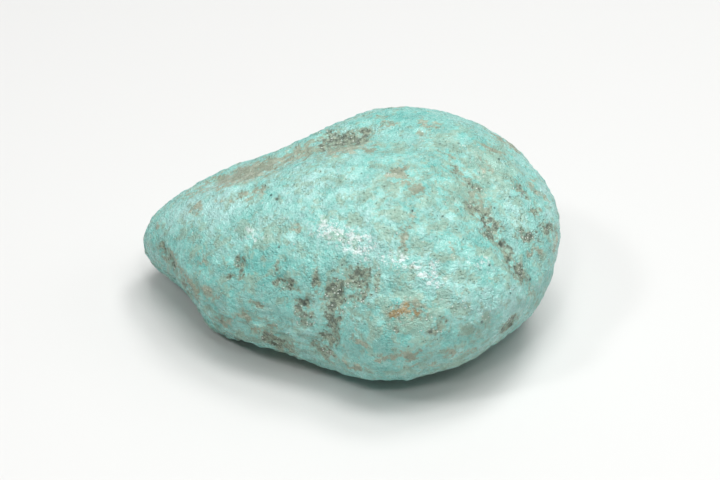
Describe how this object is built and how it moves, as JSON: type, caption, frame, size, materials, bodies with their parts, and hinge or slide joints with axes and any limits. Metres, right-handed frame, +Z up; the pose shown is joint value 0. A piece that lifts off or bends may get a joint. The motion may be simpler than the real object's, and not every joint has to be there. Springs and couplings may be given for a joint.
{
  "type": "raw turquoise nugget",
  "caption": "Raw turquoise nugget: one water-worn, pear-shaped lump of blue-green stone mottled with grey-brown matrix, lying on a worn flat.",
  "frame": {"origin": "on the worn flat that the stone lies on, under the middle of the stone's box", "axes": "+Z up from the flat, +X along the stone from its narrow nose to its broad butt, +Y to the back"},
  "size_m": [0.0728, 0.058, 0.0332],
  "materials": {
    "turquoise": "raw water-worn surface, dull with a faint waxy sheen, mottled with grey-brown matrix and pale quartz grains"
  },
  "bodies": {
    "root": {"nugget": "turquoise"}
  },
  "joints": []
}
